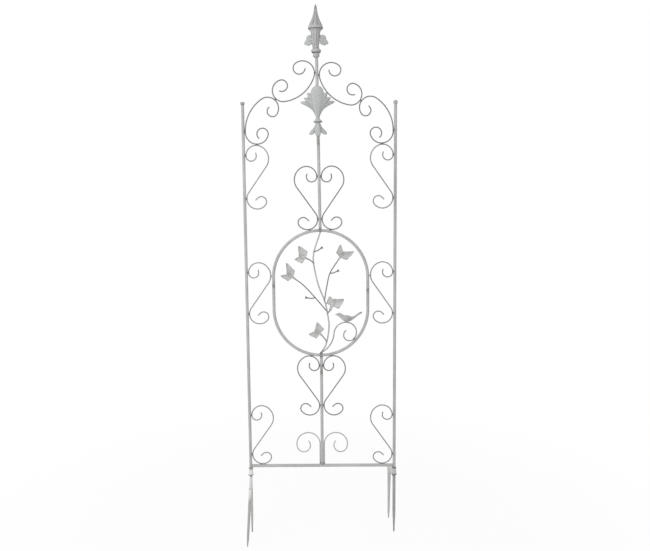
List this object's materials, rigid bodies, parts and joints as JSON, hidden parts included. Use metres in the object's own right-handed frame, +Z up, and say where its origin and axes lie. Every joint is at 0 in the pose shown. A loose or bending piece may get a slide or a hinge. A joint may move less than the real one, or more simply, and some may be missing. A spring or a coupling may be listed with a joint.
{
  "type": "garden trellis",
  "caption": "Tall free-standing metal garden trellis with bent-wire scrolls, an oval vine-and-bird ring, a spear finial and swivelling two-prong ground forks",
  "frame": {"origin": "centre of the whole object's plan, on the ground plane under the four stake tips", "axes": "+X along the panel's width, +Y through its depth with the front towards -Y, +Z up"},
  "size_m": [0.5068, 0.2113, 1.75],
  "materials": {
    "painted_tube": "matt pale grey paint with a light antique wash",
    "painted_wire": "matt pale grey paint, darker at the welds",
    "painted_casting": "matt sage-grey paint, darker in the grooves",
    "painted_foot": "matt warm grey paint"
  },
  "bodies": {
    "frame": {"left_post": "painted_tube", "right_post": "painted_tube", "left_post_cap": "painted_tube", "right_post_cap": "painted_tube", "bottom_bar": "painted_tube", "lower_centre_rod": "painted_tube", "upper_centre_rod": "painted_tube", "finial_rod": "painted_tube", "ring_upper_half": "painted_tube", "ring_lower_half": "painted_tube", "spear_finial": "painted_casting", "plume_casting": "painted_casting", "lower_left_side_scroll": "painted_wire", "lower_right_side_scroll": "painted_wire", "middle_left_side_scroll": "painted_wire", "middle_right_side_scroll": "painted_wire", "upper_left_side_scroll": "painted_wire", "upper_right_side_scroll": "painted_wire", "lower_left_heart_scroll": "painted_wire", "lower_right_heart_scroll": "painted_wire", "upper_left_heart_scroll": "painted_wire", "upper_right_heart_scroll": "painted_wire", "left_outer_arch_scroll": "painted_wire", "right_outer_arch_scroll": "painted_wire", "left_upper_arch_scroll": "painted_wire", "right_upper_arch_scroll": "painted_wire", "left_base_crook": "painted_wire", "right_base_crook": "painted_wire", "left_ring_peg": "painted_wire", "right_ring_peg": "painted_wire", "vine_base_stub": "painted_wire", "vine_main_stem": "painted_wire", "vine_left_branch": "painted_wire", "vine_right_branch": "painted_wire", "vine_short_branch": "painted_wire", "upper_left_leaf_stem": "painted_wire", "lower_left_leaf_stem": "painted_wire", "upper_bud_twig": "painted_wire", "right_bud_twig": "painted_wire", "left_bud_twig": "painted_wire", "perch_scroll": "painted_wire", "left_leaf_pair": "painted_casting", "right_leaf_pair": "painted_casting", "lower_right_leaf_pair": "painted_casting", "upper_left_leaf_pair": "painted_casting", "lower_left_leaf_pair": "painted_casting", "bird": "painted_casting", "left_socket": "painted_foot", "right_socket": "painted_foot"},
    "left_fork": {"left_stake": "painted_foot", "left_crossbar": "painted_foot", "left_outer_prong": "painted_foot"},
    "right_fork": {"right_stake": "painted_foot", "right_crossbar": "painted_foot", "right_outer_prong": "painted_foot"}
  },
  "joints": [
    {"name": "left_fork_swivel", "type": "hinge", "parent": "frame", "child": "left_fork", "pos_m": [-0.2444, 0, 0.215], "axis": [0, 0, 1], "continuous": true},
    {"name": "right_fork_swivel", "type": "hinge", "parent": "frame", "child": "right_fork", "pos_m": [0.2444, 0, 0.215], "axis": [0, 0, 1], "continuous": true}
  ]
}
